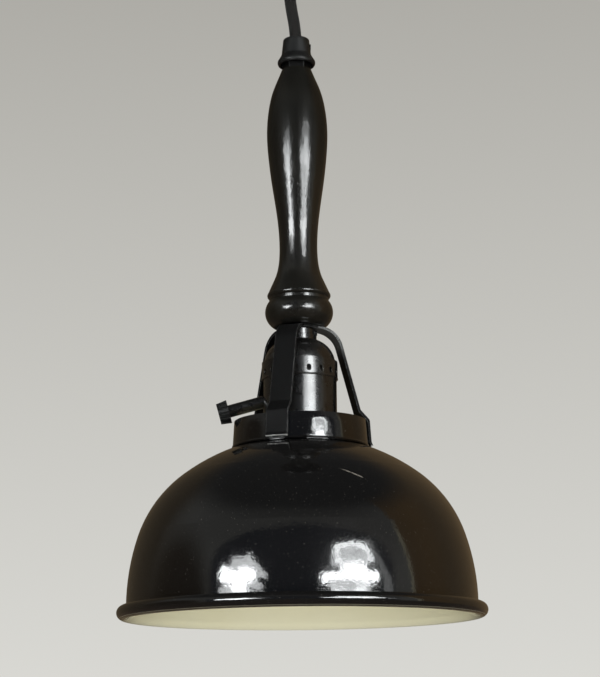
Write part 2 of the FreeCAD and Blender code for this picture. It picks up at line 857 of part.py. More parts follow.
def make_interior_block():
    body = rod(block_radius, block_bottom, block_top)
    recess = rod(contact_recess_radius, block_bottom - overrun, block_bottom + contact_recess_depth)
    rotor_space = placed(rod(rotor_radius + running_gap, -rotor_length / 2 - running_gap,
                             rotor_length / 2 + running_gap),
                         key_start - key_line * key_depth, key_line)
    spindle_hole = placed(rod(key_spindle_radius + thread_gap, 0, key_depth),
                          key_start - key_line * key_depth, key_line)
    pocket = Part.makeBox(terminal_pocket_width, 2 * terminal_pocket_depth,
                          terminal_pocket_height + overrun,
                          Vector(-terminal_pocket_width / 2, terminal_face,
                                 block_top - terminal_pocket_height))
    screw_hole = placed(rod(terminal_shank_radius + thread_gap, terminal_face - terminal_shank_length,
                            block_radius),
                        Vector(0, 0, terminal_level), Vector(0, 1, 0))
    cuts = [recess, rotor_space, spindle_hole]
    cuts += around(pocket, 2) + around(screw_hole, 2)
    return body.cut(Part.makeCompound(cuts))


def make_terminal_screws():
    head_top = terminal_face + terminal_head_height
    screw = rod(terminal_shank_radius, terminal_face - terminal_shank_length, terminal_face)
    screw = screw.fuse(rod(terminal_head_radius, terminal_face, head_top)).removeSplitter()
    screw = slotted(screw, screw_slot_width, screw_slot_depth, head_top, terminal_head_radius)
    screw = placed(screw, Vector(0, 0, terminal_level), Vector(0, 1, 0))
    return Part.makeCompound(around(screw, 2))


def wavy_tube(bore_radius, wall, depth, pitch, turns, low, high):
    """Rolled thread as rings: a tube whose wall swells outward once a pitch."""
    step = pitch / 2
    first = (low + high - turns * pitch) / 2
    inner = [at(bore_radius, low)]
    outer = [at(bore_radius + wall, low)]
    for turn in range(turns):
        base = first + turn * pitch
        inner += [at(bore_radius, base), at(bore_radius + depth, base + step)]
        outer += [at(bore_radius + wall, base), at(bore_radius + depth + wall, base + step)]
    inner += [at(bore_radius, first + turns * pitch), at(bore_radius, high)]
    outer += [at(bore_radius + wall, first + turns * pitch), at(bore_radius + wall, high)]
    return spin(outline(inner[0], *inner[1:], *reversed(outer)))


def make_screw_shell():
    low = block_bottom - screw_shell_length
    shell = wavy_tube(screw_shell_bore_radius, screw_shell_wall, thread_depth, thread_pitch,
                      thread_turns, low, block_bottom)
    flange = sleeve(screw_shell_bore_radius + screw_shell_wall / 2, contact_recess_radius,
                    block_bottom - screw_shell_wall, block_bottom)
    return shell.fuse(flange).removeSplitter()


def make_centre_contact():
    seat = block_bottom + contact_recess_depth - leaf_thickness / 2
    dip = seat - leaf_dip
    points = [at(leaf_length / 2, seat), at(leaf_length / 4, seat), at(leaf_length / 8, dip),
              at(-leaf_length / 4, dip)]
    return bent_strip(points, [leaf_thickness, leaf_thickness], leaf_thickness, leaf_width)


# Lead wires from the cord's end to the socket's terminals
def make_lead(name, side):
    lead_end = terminal_level + terminal_head_radius + slip_gap
    lead_place = terminal_face + lead_radius + slip_gap
    points = [
        Vector(0, side * lead_spread, stem_top),
        Vector(0, side * lead_spread, block_top + lead_bend_rise),
        Vector(0, side * lead_place, block_top + lead_end_rise),
        Vector(0, side * lead_place, lead_end)]
    return cable(name, points, lead_radius)


# Bulb
def make_bulb_glass():
    def skin(offset):
        radius = bulb_radius - offset
        neck = bulb_neck_radius - offset
        top = base_rim + bulb_neck_length
        join = bulb_centre + math.sqrt(radius ** 2 - neck ** 2)
        return spin(outline(
            at(0, bulb_centre - radius),
            (at(radius, bulb_centre), at(neck, join)),
            at(neck, top),
            at(0, top)))

    hollow = skin(bulb_glass_wall)
    bore = rod(bulb_neck_radius - bulb_glass_wall, bulb_centre, base_rim + bulb_neck_length + overrun)
    return skin(0).cut(hollow).cut(bore)


def make_bulb_base():
    top = base_rim + base_length
    plain = base_rim + base_plain_share * base_length
    pitch = (top - plain) / (base_turns + 1)
    outer = [at(base_crest_radius, base_rim), at(base_crest_radius, plain)]
    for turn in range(base_turns):
        outer.append(at(base_root_radius, plain + (turn + 0.5) * pitch))
        outer.append(at(base_crest_radius, plain + (turn + 1) * pitch))
    outer.append(at(base_nose_radius, top))
    inner = base_root_radius - base_wall
    face = outline(at(inner, base_rim), *outer, at(base_nose_radius - base_wall, top),
                   at(inner, plain + base_turns * pitch))
    return spin(face)


def make_bulb_insulator():
    low = base_rim + base_length
    return Part.makeCone(base_nose_radius, insulator_tip_radius, insulator_height, Vector(0, 0, low))


def make_bulb_tip():
    return rod(tip_radius, bulb_tip - tip_height, bulb_tip)


def make_bulb_stem():
    foot = base_rim + bulb_neck_length
    flare = Part.makeCone(bulb_neck_radius - bulb_glass_wall - thread_gap, stem_glass_radius,
                          bulb_neck_length, Vector(0, 0, foot), Vector(0, 0, -1))
    post = rod(stem_glass_radius, foot - stem_glass_height, foot)
    return flare.fuse(post).removeSplitter()


def make_filament():
    """Ring of filament on four support wires below the stem."""
    ring_level = bulb_bottom + bulb_radius - filament_wire_radius
    stem_end = base_rim + bulb_neck_length - stem_glass_height
    ring = Part.makeTorus(filament_ring_radius, filament_wire_radius, Vector(0, 0, ring_level))
    start = at(stem_glass_radius / 2, stem_end - filament_wire_radius)
    reach = at(filament_ring_radius, ring_level) - start
    support = placed(rod(filament_wire_radius, 0, reach.Length), start, reach)
    return ring.multiFuse(around(support, 4)).removeSplitter()


# Cord, with a round end at the point it bends about
def make_pendant_cord():
    body = cable("pendant_cord", cord_route, cord_radius)
    return body.fuse(Part.makeSphere(cord_radius, cord_route[-1])).removeSplitter()


# Ceiling canopy
def make_ceiling_canopy():
    def cup(offset):
        radius = canopy_radius - offset
        low = -canopy_height + offset
        corner = canopy_corner_radius - offset
        bend = at(radius - corner + corner * sine(45), low + corner - corner * cosine(45))
        return spin(outline(
            at(0, overrun if offset else 0),
            at(0, low),
            at(radius - corner, low),
            (bend, at(radius, low + corner)),
            at(radius, overrun if offset else 0)))

    hole = rod(gland_thread_radius + slip_gap, -canopy_height - overrun, 0)
    side_hole = placed(rod(canopy_screw_radius + slip_gap, 0, canopy_radius + overrun),
                       Vector(0, 0, -canopy_screw_drop), Vector(1, 0, 0))
    return cup(0).cut(cup(canopy_wall)).cut(Part.makeCompound([hole] + around(side_hole, 2)))


def make_mounting_bar():
    ear = Part.makeBox(bar_thickness, bar_width, bar_ear_height,
                       Vector(bar_length / 2 - bar_thickness, -bar_width / 2, -bar_ear_height))
    bar = block(bar_length, bar_width, -bar_thickness, 0).multiFuse(around(ear, 2)).removeSplitter()
    ceiling_hole = rod(ceiling_hole_radius, -2 * bar_thickness, overrun)
    ceiling_hole = ceiling_hole.translated(Vector(ceiling_screw_spacing / 2, 0, 0))
    tapped = placed(rod(canopy_screw_radius + thread_gap, bar_length / 2 - 2 * bar_thickness,
                        bar_length / 2 + overrun),
                    Vector(0, 0, -canopy_screw_drop), Vector(1, 0, 0))
    middle = rod(block_screw_radius + thread_gap, -2 * bar_thickness, overrun)
    return bar.cut(Part.makeCompound([middle] + around(ceiling_hole, 2) + around(tapped, 2)))


def make_canopy_screws():
    seat = canopy_radius + slip_gap
    top = seat + canopy_screw_head_height
    screw = rod(canopy_screw_radius, seat - canopy_screw_length, seat)
    screw = screw.fuse(rod(canopy_screw_head_radius, seat, top)).removeSplitter()
    screw = slotted(screw, screw_slot_width, screw_slot_depth, top, canopy_screw_head_radius)
    screw = placed(screw, Vector(0, 0, -canopy_screw_drop), Vector(1, 0, 0))
    return Part.makeCompound(around(screw, 2))


# Gland that holds the cord in the canopy
gland_top = -canopy_height + gland_thread_length
gland_seat = -canopy_height - gland_flange_height
gland_bottom = gland_seat - gland_body_length
pivot = -canopy_height - pivot_drop


def make_canopy_gland():
    gland = rod(gland_flange_radius, gland_seat, -canopy_height)
    gland = gland.fuse(rod(gland_thread_radius, -canopy_height, gland_top))
    gland = gland.fuse(Part.makeCone(gland_mouth_radius, gland_body_radius, gland_body_length,
                                     Vector(0, 0, gland_bottom)))
    bore_radius = cord_radius + gland_bore_gap
    bore = rod(bore_radius, gland_bottom - overrun, gland_top + overrun)
    flare = Part.makeCone(bore_radius + gland_flare, bore_radius, pivot - gland_bottom,
                          Vector(0, 0, gland_bottom))
    return gland.removeSplitter().cut(bore).cut(flare)


def make_gland_nut():
    low = -canopy_height + canopy_wall
    nut = hexagon(gland_nut_flats, low, low + gland_nut_height)
    return nut.cut(rod(gland_thread_radius + thread_gap, low - overrun, low + 2 * gland_nut_height))


# Fixed end of the cord above its bending point, and its two cores
terminal_block_top = -bar_thickness
terminal_block_bottom = terminal_block_top - terminal_block_height
tail_top = terminal_block_bottom - core_drop


def make_cord_tail():
    return rod(cord_radius, pivot + cord_radius + running_gap, tail_top)


def make_core(name, side):
    rise = terminal_block_bottom - tail_top
    points = [
        Vector(side * core_spread, 0, tail_top),
        Vector(side * core_spread, 0, tail_top + rise / 4),
        Vector(side * barrel_spacing / 2, 0, terminal_block_bottom - rise / 4),
        Vector(side * barrel_spacing / 2, 0, terminal_block_bottom + core_insert)]
    return cable(name, points, core_radius)


def clamp_levels():
    middle = (terminal_block_top + terminal_block_bottom) / 2
    return middle - clamp_spacing / 2, middle + clamp_spacing / 2


def clamp_places():
    return [Vector(side * barrel_spacing / 2, 0, level) for side in (-1, 1) for level in clamp_levels()]


def make_terminal_block():
    body = block(terminal_block_length, terminal_block_width, terminal_block_bottom, terminal_block_top)
    front = terminal_block_width / 2 + overrun
    cuts = [rod(block_screw_radius + slip_gap, terminal_block_bottom - overrun, 0)]
    barrel = rod(barrel_radius + thread_gap, terminal_block_bottom - overrun, 0)
    cuts += around(barrel.translated(Vector(barrel_spacing / 2, 0, 0)), 2)
    cuts += [placed(rod(clamp_screw_radius + thread_gap, 0, front), place, Vector(0, -1, 0))
             for place in clamp_places()]
    return body.cut(Part.makeCompound(cuts))


def make_terminal_barrels():
    barrel = sleeve(barrel_radius, barrel_bore_radius, terminal_block_bottom, terminal_block_top)
    barrels = Part.makeCompound(around(barrel.translated(Vector(barrel_spacing / 2, 0, 0)), 2))
    holes = [placed(rod(clamp_screw_radius + thread_gap, 0, terminal_block_width), place, Vector(0, -1, 0))
             for place in clamp_places()]
    return barrels.cut(Part.makeCompound(holes))


def make_clamp_screws():
    seat = terminal_block_width / 2
    top = seat + clamp_head_height
    screw = rod(clamp_screw_radius, core_radius + slip_gap, seat)
    screw = screw.fuse(rod(clamp_head_radius, seat, top)).removeSplitter()
    screw = slotted(screw, screw_slot_width, screw_slot_depth, top, clamp_head_radius)
    return Part.makeCompound([placed(screw, place, Vector(0, -1, 0)) for place in clamp_places()])


def make_block_screw():
    head_low = terminal_block_bottom - block_screw_head_height
    screw = rod(block_screw_radius, terminal_block_bottom, 0)
    screw = screw.fuse(rod(block_screw_head_radius, head_low, terminal_block_bottom)).removeSplitter()
    slot = block(2 * block_screw_head_radius, screw_slot_width, head_low - overrun,
                 head_low + screw_slot_depth)
    return screw.cut(slot)


ceiling_parts = {
    "ceiling_canopy": make_ceiling_canopy(),
    "mounting_bar": make_mounting_bar(),
    "canopy_screws": make_canopy_screws(),
    "canopy_gland": make_canopy_gland(),
    "gland_nut": make_gland_nut(),
    "terminal_block": make_terminal_block(),
    "terminal_barrels": make_terminal_barrels(),
    "clamp_screws": make_clamp_screws(),
    "block_screw": make_block_screw(),
    "cord_tail": make_cord_tail(),
    "live_core": make_core("live_core", 1),
    "neutral_core": make_core("neutral_core", -1),
}

lamp_parts = {
    "pendant_cord": make_pendant_cord(),
    "cord_grip": make_cord_grip(),
    "grip_screw": make_grip_screw(),
    "lock_nut": make_lock_nut(),
    "stem_tube": make_stem_tube(),
    "handle": make_handle(),
    "shade_carrier": make_shade_carrier(),
    "neck_screws": make_neck_screws(),
    "fitter_collar": make_fitter_collar(),
    "shade": make_shade(),
    "cap_bushing": make_cap_bushing(),
    "bushing_screw": make_bushing_screw(),
    "socket_cap": make_socket_cap(),
    "cap_liner": make_cap_liner(),
    "socket_shell": make_socket_shell(),
    "shell_liner": make_shell_liner(),
    "interior_block": make_interior_block(),
    "terminal_screws": make_terminal_screws(),
    "screw_shell": make_screw_shell(),
    "centre_contact": make_centre_contact(),
    "live_lead": make_lead("live_lead", 1),
    "neutral_lead": make_lead("neutral_lead", -1),
    "switch_rotor": make_switch_rotor(),
    "key_shaft": make_key_shaft(),
    "key_knob": make_key_knob(),
    "bulb_glass": make_bulb_glass(),
    "bulb_base": make_bulb_base(),
    "bulb_insulator": make_bulb_insulator(),
    "bulb_tip": make_bulb_tip(),
    "bulb_stem": make_bulb_stem(),
    "bulb_filament": make_filament(),
}

os.makedirs("parts", exist_ok=True)
for name, shape in ceiling_parts.items():
    shape.exportStep("parts/%s.step" % name)
for name, shape in lamp_parts.items():
    hang(shape).exportStep("parts/%s.step" % name)
print("ceiling to rim %.3f, bending point %.3f, key at %.3f %.3f, free cord %.1f" % (
      hang_drop, pivot, key_start.x, key_start.z - hang_drop, cord_rise))
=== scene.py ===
import bpy
import math
from mathutils import Matrix, Vector


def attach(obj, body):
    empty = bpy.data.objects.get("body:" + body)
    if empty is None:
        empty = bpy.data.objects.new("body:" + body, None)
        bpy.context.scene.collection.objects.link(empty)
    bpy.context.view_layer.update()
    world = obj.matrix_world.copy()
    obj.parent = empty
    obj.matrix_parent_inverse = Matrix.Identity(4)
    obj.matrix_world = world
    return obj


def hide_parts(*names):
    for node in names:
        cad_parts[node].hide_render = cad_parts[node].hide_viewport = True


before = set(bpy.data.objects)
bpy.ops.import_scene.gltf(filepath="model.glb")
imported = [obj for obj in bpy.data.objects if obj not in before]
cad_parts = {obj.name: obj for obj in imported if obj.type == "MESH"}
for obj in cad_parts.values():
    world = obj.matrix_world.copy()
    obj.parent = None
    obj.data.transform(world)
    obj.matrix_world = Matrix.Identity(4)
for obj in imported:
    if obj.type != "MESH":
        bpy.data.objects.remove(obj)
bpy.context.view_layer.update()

# Levels in metres: the ceiling is at 0, the cord leaves its gland at PIVOT,
# and the shade's rim hangs at RIM
PIVOT = -0.038
RIM = -0.394006


# ---------- camera, as in the photograph ----------

def make_camera():
    data = bpy.data.cameras.new("camera")
    data.sensor_fit = "VERTICAL"
    data.sensor_height = 36.0
    data.lens = 99.24
    camera = bpy.data.objects.new("camera", data)
    bpy.context.scene.collection.objects.link(camera)
    place = Matrix.Translation((0.00028, -0.8366, RIM - 0.055))
    upward_look = 12.32
    tilt = Matrix.Rotation(math.radians(90 + upward_look), 4, "X")
    roll = Matrix.Rotation(math.radians(-0.62), 4, "Z")
    camera.matrix_world = place @ tilt @ roll
    bpy.context.scene.camera = camera


# ---------- node helpers ----------

# Sockets of a Mix node for each kind of data: the two inputs and the result
MIX_SOCKETS = {"FLOAT": (2, 3, 0), "VECTOR": (4, 5, 1), "RGBA": (6, 7, 2)}


class Nodes:
    """Short way to build a node tree."""

    def __init__(self, tree):
        self.tree = tree
        tree.nodes.clear()

    def add(self, kind, inputs=None, **settings):
        """New node with these settings, and with values or links for its inputs."""
        node = self.tree.nodes.new(kind)
        for name, value in settings.items():
            setattr(node, name, value)
        for name, value in (inputs or {}).items():
            self.put(node.inputs[name], value)
        return node

    def put(self, socket, value):
        """Link a socket to another one, or give it a value."""
        if isinstance(value, bpy.types.NodeSocket):
            self.tree.links.new(value, socket)
        else:
            socket.default_value = value

    def math(self, operation, first, second=0.0, clamp=False):
        node = self.add("ShaderNodeMath", {0: first, 1: second}, operation=operation,
                        use_clamp=clamp)
        return node.outputs[0]

    def vector(self, operation, *inputs, scale=None):
        """Vector Math, with a vector or a number as its result."""
        node = self.add("ShaderNodeVectorMath", dict(enumerate(inputs)), operation=operation)
        if scale is not None:
            self.put(node.inputs["Scale"], scale)
        return node.outputs["Value" if operation in ("LENGTH", "DOT_PRODUCT") else "Vector"]

    def split(self, vector):
        """X, Y and Z of a vector."""
        node = self.add("ShaderNodeSeparateXYZ", {0: vector})
        return [node.outputs[axis] for axis in "XYZ"]

    def ramp(self, value, low, high, start=0.0, end=1.0, smooth=True):
        """Map a value from low..high to start..end, clamped."""
        node = self.add("ShaderNodeMapRange", {
            "Value": value, "From Min": low, "From Max": high, "To Min": start, "To Max": end,
        }, clamp=True, interpolation_type="SMOOTHSTEP" if smooth else "LINEAR")
        return node.outputs["Result"]

    def mix(self, factor, first, second, kind="RGBA"):
        """Mix two colours, numbers (FLOAT) or vectors (VECTOR)."""
        low, high, result = MIX_SOCKETS[kind]
        node = self.add("ShaderNodeMix", data_type=kind)
        for index, value in ((0, factor), (low, first), (high, second)):
            self.put(node.inputs[index], value)
        return node.outputs[result]

    def place(self, scale=(1, 1, 1)):
        """Object coordinates in metres, stretched."""
        source = self.add("ShaderNodeTexCoord").outputs["Object"]
        return self.add("ShaderNodeMapping", {"Vector": source, "Scale": scale}).outputs[0]

    def off_axis(self):
        """Level vector from the lamp's axis to a spot, its length, and the spot's level."""
        x, y, level = self.split(self.add("ShaderNodeTexCoord").outputs["Object"])
        flat = self.add("ShaderNodeCombineXYZ", {0: x, 1: y}).outputs[0]
        return flat, self.vector("LENGTH", flat), level

    def noise(self, vector, scale, detail=3.0, roughness=0.5, distortion=0.0):
        node = self.add("ShaderNodeTexNoise", {"Vector": vector, "Scale": scale, "Detail": detail,
                                               "Roughness": roughness, "Distortion": distortion})
        return node.outputs["Fac"]

    def world_normal(self, vector):
        return self.add("ShaderNodeVectorTransform", {0: vector}, vector_type="NORMAL",
                        convert_from="OBJECT", convert_to="WORLD").outputs[0]

    def turned(self, lean=None):
        """Normal of a surface turned about the lamp's axis, free of the mesh's facets.

        A lean tilts the surface's sides up. Where the surface isn't a turned one, its own
        normal stays."""
        normal = self.add("ShaderNodeTexCoord").outputs["Normal"]
        flat, _, _ = self.off_axis()
        outward = self.vector("NORMALIZE", flat)
        amount = self.vector("DOT_PRODUCT", outward, normal)
        _, _, rise = self.split(normal)
        upward = self.add("ShaderNodeCombineXYZ", {2: rise}).outputs[0]
        total = self.vector("ADD", self.vector("SCALE", outward, scale=amount), upward)
        is_turned = self.ramp(self.vector("LENGTH", total), 0.985, 0.995)
        smooth = self.mix(is_turned, normal, total, "VECTOR")
        if lean is not None:
            tilt = self.add("ShaderNodeCombineXYZ", {2: self.math("MULTIPLY", lean, amount)})
            smooth = self.vector("ADD", smooth, tilt.outputs[0])
        return self.world_normal(smooth)

    def bump(self, height, distance, strength=1.0, normal=None):
        node = self.add("ShaderNodeBump", {"Height": height, "Distance": distance,
                                           "Strength": strength})
        if normal is not None:
            self.put(node.inputs["Normal"], normal)
        return node.outputs[0]


def material(name):
    mat = bpy.data.materials.new(name)
    mat.use_nodes = True
    return mat, Nodes(mat.node_tree)


def finish_material(nodes, **sockets):
    """Principled shader with these sockets, then the output."""
    shader = nodes.add("ShaderNodeBsdfPrincipled")
    for name, value in sockets.items():
        nodes.put(shader.inputs[name.replace("_", " ")], value)
    nodes.add("ShaderNodeOutputMaterial", {"Surface": shader.outputs[0]})


def rgb(red, green, blue):
    return (red, green, blue, 1.0)


# ---------- enamel ----------

def scratch(n):
    """Mask of a fine bowed scratch on the front of the dome, below the collar."""
    start = Vector((0.0064, 0, -0.3323))
    run = Vector((0.0265, 0, -0.3391)) - start
    sideways = Vector((-run.z, 0, run.x)).normalized()
    most_bow = 0.00075
    coords = n.add("ShaderNodeTexCoord").outputs["Object"]
    offset = n.vector("SUBTRACT", coords, start)
    along = n.vector("DOT_PRODUCT", offset, run / run.length_squared)
    across = n.vector("DOT_PRODUCT", offset, sideways)
    arch = n.math("MULTIPLY", along, n.math("SUBTRACT", 1.0, along))
    bow = n.math("MULTIPLY", arch, 4 * most_bow)
    line = n.ramp(n.math("ABSOLUTE", n.math("SUBTRACT", across, bow)), 0.00022, 0.0001)
    ends = n.math("MULTIPLY", n.ramp(along, 0.45, 0.7), n.ramp(along, 1.0, 0.97))
    _, y, _ = n.split(coords)
    front = n.ramp(y, 0.0, -0.02)
    broken = n.ramp(n.noise(n.place(), 700, 2.0), 0.4, 0.6, 0.25, 1.0)
    return n.math("MULTIPLY", n.math("MULTIPLY", line, ends), n.math("MULTIPLY", front, broken))


def barrel(n):
    """Lean of the collar's wall, which bulges a little between its ends."""
    middle = -0.3128
    below = -0.005
    above = 0.006
    linear = 4.0
    cubic = 6.9e5
    _, _, level = n.split(n.place())
    height = n.ramp(level, middle + below, middle + above, below, above, smooth=False)
    square = n.math("MULTIPLY", height, height)
    growth = n.math("ADD", linear, n.math("MULTIPLY", square, cubic))
    return n.math("MULTIPLY", height, growth)


def inner_side(n):
    """Mask of the shade's inner side, down to the rolled rim's lowest line.

    The groove between the wall's outside and the rim stays black."""
    centre = (0, 0, RIM + 0.012)
    coords = n.add("ShaderNodeTexCoord")
    outward = n.vector("SUBTRACT", coords.outputs["Object"], centre)
    facing = n.vector("DOT_PRODUCT", outward, coords.outputs["Normal"])
    wobble = n.math("MULTIPLY", n.math("SUBTRACT", n.noise(n.place(), 60, 2.0), 0.5), 0.01)
    inner = n.ramp(n.math("ADD", facing, wobble), 0.006, 0.002)
    _, radius, level = n.off_axis()
    under = n.ramp(level, RIM + 0.0008, RIM + 0.0004)
    groove = n.math("MULTIPLY", n.ramp(radius, 0.0777, 0.0779),
                    n.ramp(level, RIM + 0.0022, RIM + 0.0028))
    return n.math("SUBTRACT", n.math("MAXIMUM", inner, under), groove, clamp=True)


def cream(n):
    """Stained cream, painted paler towards the rim: painted light over the shade in the corner
    above the rolled rim.
    """
    stain = n.noise(n.place(), 35, 5.0)
    _, _, level = n.off_axis()
    colour = n.mix(stain, rgb(0.88, 0.855, 0.63), rgb(0.82, 0.77, 0.52))
    # Painted light: the cream turns paler towards the rim, lifting the shade that falls in the
    # corner there
    painted_rim_light = n.ramp(level, RIM + 0.012, RIM + 0.001, 0.0, 0.6)
    return n.mix(painted_rim_light, colour, rgb(0.97, 0.94, 0.7))


def rim_normal(n):
    """Normal that looks inward and a little down, where enamel rounds the corner at the rim."""
    flat, _, _ = n.off_axis()
    inward = n.vector("NORMALIZE", n.vector("SCALE", flat, scale=-1.0))
    return n.world_normal(n.vector("ADD", inward, (0, 0, -0.3)))


def enamel(name, cream_inside=False, bulged=False):
    """Gloss black vitreous enamel with faint ripple and specks; the shade is cream inside."""
    mat, n = material(name)
    place = n.place()
    ripple = n.noise(place, 55, 2.0)
    pores = n.noise(place, 760, 2.0)
    cloud = n.noise(place, 28, 4.0)
    speck = n.ramp(n.noise(place, 1400, 1.0), 0.72, 0.77)
    colour = n.mix(cloud, rgb(0.0042, 0.0044, 0.0048), rgb(0.0075, 0.0072, 0.0068))
    colour = n.mix(n.math("MULTIPLY", speck, 0.35), colour, rgb(0.16, 0.15, 0.13))
    rough = n.ramp(cloud, 0.35, 0.7, 0.07, 0.14)
    base = n.turned(barrel(n) if bulged else None)
    if cream_inside:
        colour = n.mix(scratch(n), colour, rgb(0.42, 0.39, 0.33))
        inside = inner_side(n)
        colour = n.mix(inside, colour, cream(n))
        rough = n.mix(inside, rough, 0.3, "FLOAT")
        _, _, level = n.off_axis()
        corner = n.math("MULTIPLY", inside, n.ramp(level, RIM + 0.018, RIM + 0.012))
        base = n.mix(corner, base, rim_normal(n), "VECTOR")
    height = n.math("ADD", ripple, n.math("MULTIPLY", pores, 0.3))
    normal = n.bump(height, 0.00025, 0.35, base)
    finish_material(n, Base_Color=colour, Roughness=rough, Normal=normal, Coat_Normal=normal,
                    Specular_IOR_Level=0.42, Coat_Weight=0.75 if bulged else 1.0,
                    Coat_Roughness=0.025, Coat_IOR=1.5)
    return mat


# ---------- other materials ----------

def worn_edge(n, radius, normal=None):
    """Mask of rubbed edges, where a rounded normal leaves the plain one, and the rounded normal."""
    flat = normal or n.add("ShaderNodeNewGeometry").outputs["Normal"]
    rounded = n.add("ShaderNodeBevel", {"Radius": radius, "Normal": flat}, samples=6).outputs[0]
    edge = n.ramp(n.vector("DOT_PRODUCT", flat, rounded), 0.985, 0.9)
    patchy = n.ramp(n.noise(n.place(), 500, 3.0, 0.6), 0.35, 0.6, 0.25, 1.0)
    return n.math("MULTIPLY", edge, patchy), rounded


def black_paint(name, rough_low, legs=False):
    """Matte black paint on steel, rubbed to bare metal along its edges.

    On the carrier's legs the right leg's bend is painted lighter, thin paint over steel and a
    painted reflection of the sheen there; the ends of the toes carry a painted highlight."""
    mat, n = material(name)
    place = n.place()
    cloud = n.noise(place, 90, 5.0, 0.6)
    scuff = n.ramp(n.noise(n.place((1, 1, 0.25)), 420, 4.0, 0.65), 0.66, 0.78)
    edge, rounded = worn_edge(n, 0.00045)
    bare_and_sheen = n.math("MULTIPLY", edge, 0.35)
    if legs:
        x, _, level = n.split(n.add("ShaderNodeTexCoord").outputs["Object"])
        # Painted reflection: lighter, barer steel on the right leg's bend stands in for the sheen
        # that falls there
        painted_bend_sheen = n.math("MULTIPLY", n.ramp(x, 0.005, 0.009), n.ramp(level, -0.277, -0.266))
        bend_paint_and_sheen = n.math("MULTIPLY", painted_bend_sheen, n.ramp(cloud, 0.3, 0.6, 0.12, 0.3))
        bare_and_sheen = n.math("MAXIMUM", bare_and_sheen, bend_paint_and_sheen)
    colour = n.mix(cloud, rgb(0.00225, 0.00225, 0.00225), rgb(0.0048, 0.0048, 0.0048))
    colour = n.mix(n.math("MULTIPLY", scuff, 0.2), colour, rgb(0.04, 0.039, 0.037))
    colour = n.mix(bare_and_sheen, colour, rgb(0.42, 0.43, 0.42))
    if legs:
        # Painted highlight: a light line along the outer lower edge of each toe
        _, radius, level = n.off_axis()
        toe_highlight = n.math("MULTIPLY", n.ramp(level, RIM + 0.0782, RIM + 0.078),
                     n.ramp(radius, 0.0319, 0.0323))
        colour = n.mix(toe_highlight, colour, rgb(0.62, 0.62, 0.6))
    rough = n.ramp(cloud, 0.3, 0.75, rough_low, rough_low + 0.14)
    rough = n.mix(bare_and_sheen, rough, 0.28, "FLOAT")
    normal = n.bump(n.noise(place, 1600, 3.0), 0.00004, 0.5, rounded)
    finish_material(n, Base_Color=colour, Metallic=bare_and_sheen, Roughness=rough, Normal=normal,
                    Specular_IOR_Level=0.1)
    return mat


def dark_bronze(name, lacquer_rough):
    """Blackened bronze of the lamp holder under a thin lacquer, rubbed brown along its edges."""
    mat, n = material(name)
    cloud = n.noise(n.place(), 130, 5.0, 0.6)
    edge, rounded = worn_edge(n, 0.0003, n.turned())
    colour = n.mix(cloud, rgb(0.008, 0.008, 0.0085), rgb(0.017, 0.0165, 0.015))
    colour = n.mix(n.math("MULTIPLY", edge, 0.3), colour, rgb(0.2, 0.165, 0.12))
    rough = n.ramp(cloud, 0.3, 0.75, 0.24, 0.34)
    lathe_marks = n.noise(n.place((1, 1, 30)), 60, 2.0)
    lacquer = n.ramp(cloud, 0.3, 0.75, lacquer_rough, lacquer_rough + 0.06)
    finish_material(n, Base_Color=colour, Roughness=rough, Metallic=0.35,
                    Normal=n.bump(lathe_marks, 0.00001, 0.4, rounded), Specular_IOR_Level=0.5,
                    Coat_Weight=0.8, Coat_Roughness=lacquer, Coat_Normal=rounded)
    return mat


def dark_wood():
    """Black-brown lacquer over turned wood: long grain, pores and dents.

    The lacquer is worn dull over the handle's upper half."""
    mat, n = material("dark_wood")
    grain = n.noise(n.place((1, 1, 0.06)), 420, 5.0, 0.65, 0.6)
    pores = n.ramp(n.noise(n.place((1, 1, 0.045)), 1500, 3.0, 0.7), 0.62, 0.74)
    cloud = n.noise(n.place((1, 1, 0.5)), 45, 4.0, 0.55)
    grime = n.noise(n.place((1, 1, 0.4)), 240, 3.0, 0.5)
    colour = n.mix(grain, rgb(0.0042, 0.0043, 0.0036), rgb(0.0115, 0.0108, 0.0086))
    colour = n.mix(n.ramp(cloud, 0.5, 0.75, 0.0, 0.55), colour, rgb(0.02, 0.0175, 0.0135))
    colour = n.mix(n.math("MULTIPLY", pores, 0.6), colour, rgb(0.0025, 0.002, 0.0018))
    rough = n.mix(cloud, 0.3, 0.42, "FLOAT")
    dents = n.ramp(n.noise(n.place((1, 1, 0.6)), 260, 3.0, 0.6), 0.3, 0.7)
    height = n.math("SUBTRACT", n.math("MULTIPLY", grain, 0.5), n.math("MULTIPLY", pores, 0.8))
    height = n.math("ADD", height, n.math("MULTIPLY", dents, 1.6))
    turned = n.turned()
    _, _, level = n.split(n.place())
    lacquer = n.ramp(level, -0.2, -0.166, 0.8, 0.26)
    finish_material(n, Base_Color=colour, Roughness=rough,
                    Normal=n.bump(height, 0.00012, 0.35, turned),
                    Specular_IOR_Level=0.1, Coat_Weight=lacquer, Coat_IOR=1.6,
                    Coat_Roughness=n.ramp(grime, 0.35, 0.75, 0.105, 0.18),
                    Coat_Normal=n.bump(height, 0.00006, 0.4, turned))
    return mat


def black_plastic():
    """Moulded black thermoset, faintly mottled."""
    mat, n = material("black_plastic")
    place = n.place()
    cloud = n.noise(place, 240, 4.0)
    colour = n.mix(cloud, rgb(0.004, 0.0042, 0.0042), rgb(0.009, 0.0093, 0.009))
    rough = n.ramp(cloud, 0.3, 0.7, 0.36, 0.52)
    edge = n.add("ShaderNodeBevel", {"Radius": 0.00025}, samples=4).outputs[0]
    finish_material(n, Base_Color=colour, Roughness=rough,
                    Normal=n.bump(n.noise(place, 2200, 2.0), 0.00003, 0.6, edge),
                    Specular_IOR_Level=0.35)
    return mat


